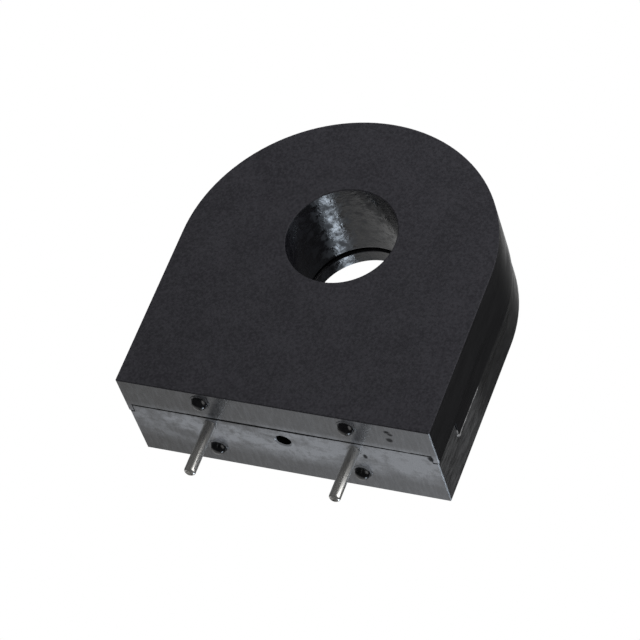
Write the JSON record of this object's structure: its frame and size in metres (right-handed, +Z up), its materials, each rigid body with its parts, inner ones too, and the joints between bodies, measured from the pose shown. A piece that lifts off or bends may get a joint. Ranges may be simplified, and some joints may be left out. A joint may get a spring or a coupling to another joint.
{
  "type": "board-mount current transformer",
  "caption": "Arched two-shell moulded case with a through bore for the sensed conductor, a wound ring core inside, standoff feet and terminal pins below.",
  "frame": {"origin": "midway between the two terminal pins, on the plane of the foot ends, which is the board's surface", "axes": "+Z up from the board to the top of the arch, +X along the width and the row of pins, +Y along the bore from the plain front face to the rear face"},
  "size_m": [0.0274, 0.0097, 0.034],
  "materials": {
    "shell_plastic": "fine-grained black moulded thermoplastic",
    "cover_plastic": "satin black moulded thermoplastic",
    "tinned_pin": "drawn tin-plated wire",
    "core_strip": "tape-wound nickel-iron strip",
    "core_box_nylon": "natural nylon",
    "enamelled_copper": "enamelled copper wire",
    "amber_tape": "polyester tape",
    "grey_foam": "closed-cell foam",
    "sleeve_white": "extruded sleeving",
    "solder": "bright solder"
  },
  "bodies": {
    "root": {"front_case": "shell_plastic", "rear_cover": "cover_plastic", "pin_left": "tinned_pin", "pin_right": "tinned_pin", "core": "core_strip", "core_box": "core_box_nylon", "core_box_lid": "core_box_nylon", "winding": "enamelled_copper", "winding_tape": "amber_tape", "foam_front": "grey_foam", "foam_rear": "grey_foam", "lead_left": "enamelled_copper", "lead_right": "enamelled_copper", "sleeve_left": "sleeve_white", "sleeve_right": "sleeve_white", "solder_left": "solder", "solder_right": "solder"}
  },
  "joints": []
}
